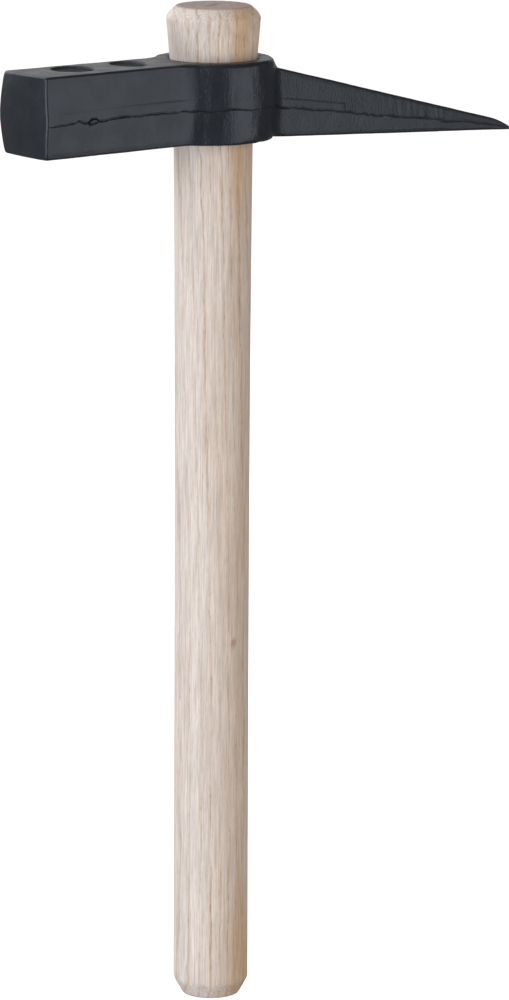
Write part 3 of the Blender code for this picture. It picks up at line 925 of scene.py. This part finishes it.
def make_world():
    """White paper behind the hammer and dim walls elsewhere, plain white past the floor's edge."""
    world = bpy.data.worlds.new("studio")
    world.use_nodes = True
    tree = world.node_tree
    direction = add(tree, "TexCoord").outputs["Generated"]
    turn = math.radians(PAPER_AZIMUTH)
    paper = (math.sin(turn), -math.cos(turn), 0.15)
    facing = add(tree, "VectorMath", {0: direction, 1: paper}, operation="DOT_PRODUCT")
    towards_paper = facing.outputs["Value"]
    towards_right = add(tree, "SeparateXYZ", {0: direction}).outputs["X"]
    wall = mapped(tree, towards_right, -1.0, 1.0, LEFT_WALL_GLOW, RIGHT_WALL_GLOW)
    glow = mapped(tree, towards_paper, PAPER_EDGE, PAPER_FULL, 0.0, PAPER_GLOW)
    glow = maths(tree, "MAXIMUM", glow, wall)
    seen = add(tree, "LightPath").outputs["Is Camera Ray"]
    glow = maths(tree, "MAXIMUM", glow, maths(tree, "MULTIPLY", seen, 1.2))
    tree.links.new(glow, tree.nodes["Background"].inputs["Strength"])
    tree.nodes["Background"].inputs["Color"].default_value = (1.0, 1.0, 1.0, 1.0)
    bpy.context.scene.world = world


def make_softbox(name, azimuth, elevation, width, height, glow, colour):
    """A soft area light that faces the hammer. Azimuth 0 is in front, 90 is to the right."""
    turn, rise = math.radians(azimuth), math.radians(elevation)
    level = math.cos(rise)
    out = Vector((math.sin(turn) * level, -math.cos(turn) * level, math.sin(rise)))
    lamp = bpy.data.lights.new(name, "AREA")
    lamp.shape = "RECTANGLE"
    lamp.size, lamp.size_y = width, height
    lamp.energy = glow * math.pi * width * height
    lamp.color = colour
    made = bpy.data.objects.new(name, lamp)
    made.location = LIGHT_TARGET + out * SOFTBOX_DISTANCE
    made.visible_camera = False
    made.rotation_mode = "QUATERNION"
    made.rotation_quaternion = (-out).to_track_quat("-Z", "Y")
    bpy.context.scene.collection.objects.link(made)


def make_camera():
    """The viewpoint: in front and to the poll's side, a little above, with a slight roll."""
    turn, drop, roll = (math.radians(angle) for angle in (CAMERA_AZIMUTH, CAMERA_DROP, CAMERA_ROLL))
    forward = Vector((math.sin(turn) * math.cos(drop), math.cos(turn) * math.cos(drop), -math.sin(drop)))
    level_right = Vector((math.cos(turn), -math.sin(turn), 0.0))
    level_up = level_right.cross(forward)
    right = level_right * math.cos(roll) + level_up * math.sin(roll)
    up = level_up * math.cos(roll) - level_right * math.sin(roll)
    lens = bpy.data.cameras.new("camera")
    lens.sensor_width = 36.0
    lens.lens = CAMERA_LENS
    lens.clip_start = 0.05
    camera = bpy.data.objects.new("camera", lens)
    axes = Matrix((right, up, -forward)).transposed()
    camera.matrix_world = Matrix.Translation(CAMERA_TARGET - forward * CAMERA_DISTANCE) @ axes.to_4x4()
    bpy.context.scene.collection.objects.link(camera)
    bpy.context.scene.camera = camera


for leftover in [thing for thing in bpy.data.objects if thing.type in ("CAMERA", "LIGHT")]:
    bpy.data.objects.remove(leftover)
make_camera()
make_floor()
make_world()
for softbox in SOFTBOXES:
    make_softbox(*softbox)

head = make_head()
head.data.materials.append(paint_material())
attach(head, "head")
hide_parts("hammer_head")

handle = make_handle()
handle.data.materials.append(ash_material())
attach(handle, "handle")
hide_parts("handle")

bpy.context.scene.view_settings.view_transform = "Standard"
